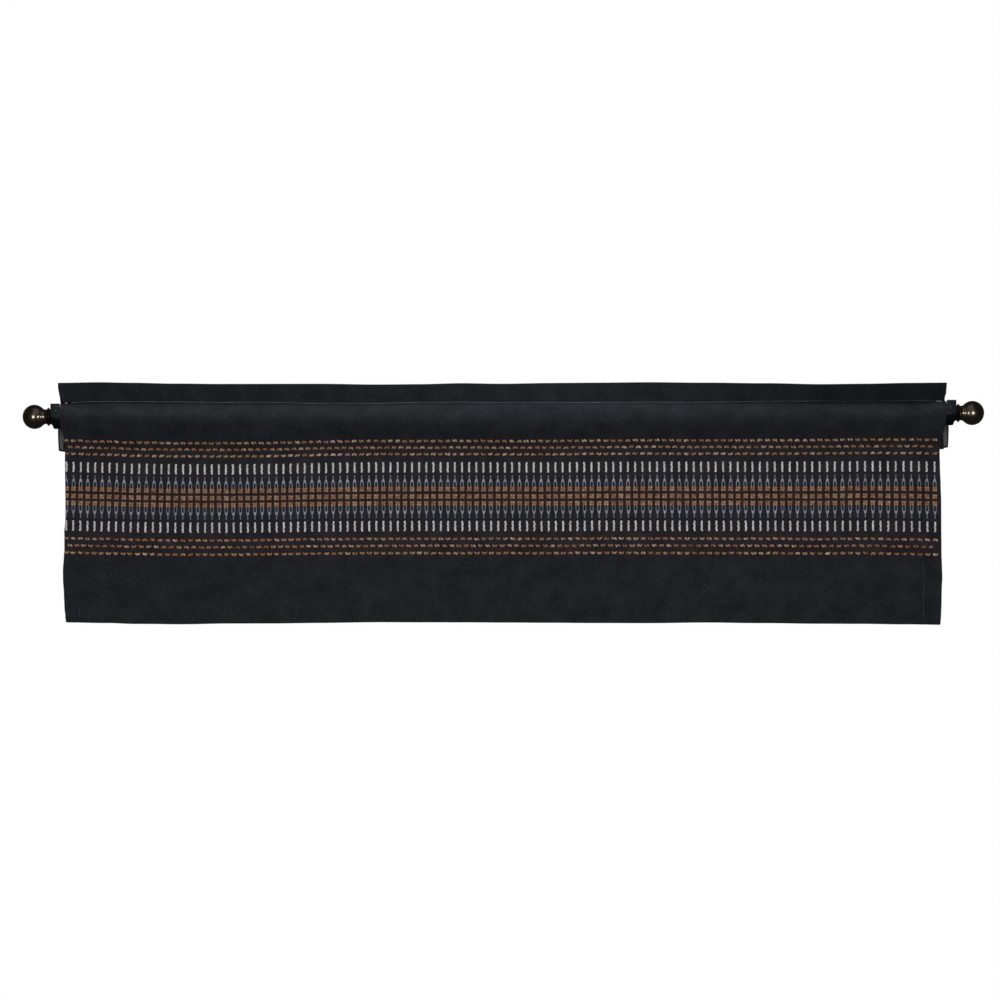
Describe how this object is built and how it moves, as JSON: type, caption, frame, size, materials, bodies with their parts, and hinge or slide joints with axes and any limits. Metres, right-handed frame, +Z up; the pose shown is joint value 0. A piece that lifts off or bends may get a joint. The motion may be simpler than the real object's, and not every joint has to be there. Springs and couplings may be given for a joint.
{
  "type": "window valance on a curtain pole",
  "caption": "Dark cotton window valance with a woven border, hung by its rod pocket on a painted pole with bronze ball finials and wall brackets.",
  "frame": {"origin": "on the wall, level with the pole's axis, midway between the brackets", "axes": "+X along the pole to the right as seen from the room, +Y into the wall, +Z up"},
  "size_m": [1.664, 0.0971, 0.4262],
  "materials": {
    "cloth": "slubbed plain weave cotton",
    "pole_paint": "black satin paint",
    "bracket_paint": "dark satin paint",
    "bronze": "polished dark bronze",
    "screw_steel": "blackened"
  },
  "bodies": {
    "root": {"valance_cloth": "cloth", "pole": "pole_paint", "bracket_left": "bracket_paint", "bracket_right": "bracket_paint", "finial_left": "bronze", "finial_right": "bronze", "set_screw_left": "screw_steel", "set_screw_right": "screw_steel"}
  },
  "joints": []
}
